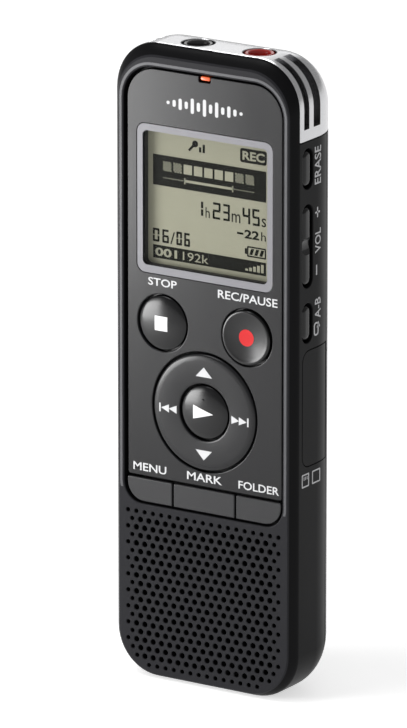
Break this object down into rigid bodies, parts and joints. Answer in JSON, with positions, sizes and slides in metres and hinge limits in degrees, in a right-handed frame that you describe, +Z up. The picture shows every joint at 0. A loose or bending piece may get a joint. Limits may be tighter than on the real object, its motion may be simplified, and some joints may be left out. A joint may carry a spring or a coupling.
{
  "type": "handheld voice recorder",
  "caption": "Upright pocket voice recorder with a silver top band, corner microphones, a recessed display, round keys, a control ring and a perforated speaker face.",
  "frame": {"origin": "centre of the bottom end, in the middle of the width and of the depth", "axes": "+Z up along the length to the microphone end, +X to the right as seen from the front, -Y out of the front face"},
  "size_m": [0.0374, 0.0194, 0.1141],
  "materials": {
    "case_black": "satin moulded ABS",
    "panel_gloss": "dark grey gloss lacquer",
    "key_black": "satin",
    "band_silver": "satin silver",
    "window_clear": "clear acrylic",
    "display_grey": "reflective liquid crystal",
    "white_plastic": "satin",
    "lamp_orange": "lit lens",
    "rubber_grey": "silicone",
    "jack_black": "gloss",
    "jack_red": "gloss",
    "steel": "plated",
    "mesh_metal": "black woven mesh",
    "speaker_metal": "black basket and magnet",
    "board_green": "solder mask",
    "cell_wrap": "printed wrap"
  },
  "bodies": {
    "casing": {"front_shell": "case_black", "rear_shell": "case_black", "face_panel": "panel_gloss", "top_band": "band_silver", "display_window": "window_clear", "display_glass": "display_grey", "display_holder": "white_plastic", "indicator_lens": "lamp_orange", "keypad": "rubber_grey", "headphone_jack": "jack_black", "microphone_jack": "jack_black", "headphone_collar": "jack_black", "microphone_collar": "jack_red", "microphone_capsule_left": "steel", "microphone_capsule_right": "steel", "card_socket": "steel", "usb_socket": "steel", "contact_bridge": "steel", "contact_plus": "steel", "contact_minus": "steel", "screw_low_left": "steel", "screw_low_right": "steel", "screw_high_left": "steel", "screw_high_right": "steel", "microphone_mesh_left": "mesh_metal", "microphone_mesh_right": "mesh_metal", "speaker": "speaker_metal", "main_board": "board_green", "battery_cell_left": "cell_wrap", "battery_cell_right": "cell_wrap"},
    "stop_key": {"stop_button": "key_black"},
    "record_key": {"record_button": "key_black"},
    "play_key": {"play_button": "key_black"},
    "ring_rocker": {"ring_seat": "rubber_grey"},
    "ring": {"control_ring": "panel_gloss"},
    "menu_key": {"menu_button": "key_black"},
    "mark_key": {"mark_button": "key_black"},
    "folder_key": {"folder_button": "key_black"},
    "erase_key": {"erase_button": "key_black"},
    "repeat_key": {"repeat_button": "key_black"},
    "volume_key": {"volume_rocker": "key_black"},
    "power_slider": {"power_switch": "key_black"},
    "speed_slider": {"speed_switch": "key_black"},
    "card_lid": {"card_cover": "key_black"},
    "door_wire": {"hinge_wire": "steel"},
    "door": {"battery_door": "case_black"}
  },
  "joints": [
    {"name": "stop_press", "type": "slide", "parent": "casing", "child": "stop_key", "axis": [0, 1, 0], "range_m": [0, 0.0004], "stiffness_N_per_m": 600},
    {"name": "record_press", "type": "slide", "parent": "casing", "child": "record_key", "axis": [0, 1, 0], "range_m": [0, 0.0004], "stiffness_N_per_m": 600},
    {"name": "play_press", "type": "slide", "parent": "casing", "child": "play_key", "axis": [0, 1, 0], "range_m": [0, 0.0004], "stiffness_N_per_m": 600},
    {"name": "menu_press", "type": "slide", "parent": "casing", "child": "menu_key", "axis": [0, 1, 0], "range_m": [0, 0.0004], "stiffness_N_per_m": 600},
    {"name": "mark_press", "type": "slide", "parent": "casing", "child": "mark_key", "axis": [0, 1, 0], "range_m": [0, 0.0004], "stiffness_N_per_m": 600},
    {"name": "folder_press", "type": "slide", "parent": "casing", "child": "folder_key", "axis": [0, 1, 0], "range_m": [0, 0.0004], "stiffness_N_per_m": 600},
    {"name": "erase_press", "type": "slide", "parent": "casing", "child": "erase_key", "axis": [-1, 0, 0], "range_m": [0, 0.0004], "stiffness_N_per_m": 600},
    {"name": "repeat_press", "type": "slide", "parent": "casing", "child": "repeat_key", "axis": [-1, 0, 0], "range_m": [0, 0.0004], "stiffness_N_per_m": 600},
    {"name": "volume_rock", "type": "hinge", "parent": "casing", "child": "volume_key", "pos_m": [0.0174, -0.00532, 0.0815], "axis": [0, 1, 0], "range_deg": [-3, 3], "stiffness_Nm_per_rad": 0.03},
    {"name": "ring_up_down", "type": "hinge", "parent": "casing", "child": "ring_rocker", "pos_m": [0, -0.00815, 0.04985], "axis": [1, 0, 0], "range_deg": [-2.5, 2.5], "stiffness_Nm_per_rad": 0.03},
    {"name": "ring_left_right", "type": "hinge", "parent": "ring_rocker", "child": "ring", "pos_m": [0, -0.00815, 0.04985], "axis": [0, 0, 1], "range_deg": [-2.5, 2.5], "stiffness_Nm_per_rad": 0.03},
    {"name": "power_slide", "type": "slide", "parent": "casing", "child": "power_slider", "axis": [0, 0, 1], "range_m": [-0.0022, 0.0022]},
    {"name": "speed_slide", "type": "slide", "parent": "casing", "child": "speed_slider", "axis": [0, 0, 1], "range_m": [-0.0016, 0.0016]},
    {"name": "card_lid_turn", "type": "hinge", "parent": "casing", "child": "card_lid", "pos_m": [0.01805, 0.00135, 0.0525], "axis": [0, 0, 1], "range_deg": [0, 100]},
    {"name": "door_slide", "type": "slide", "parent": "casing", "child": "door_wire", "axis": [0, 0, -1], "range_m": [0, 0.0025]},
    {"name": "door_swing", "type": "hinge", "parent": "door_wire", "child": "door", "pos_m": [0, 0.00325, 0.0022], "axis": [-1, 0, 0], "range_deg": [0, 110]}
  ]
}
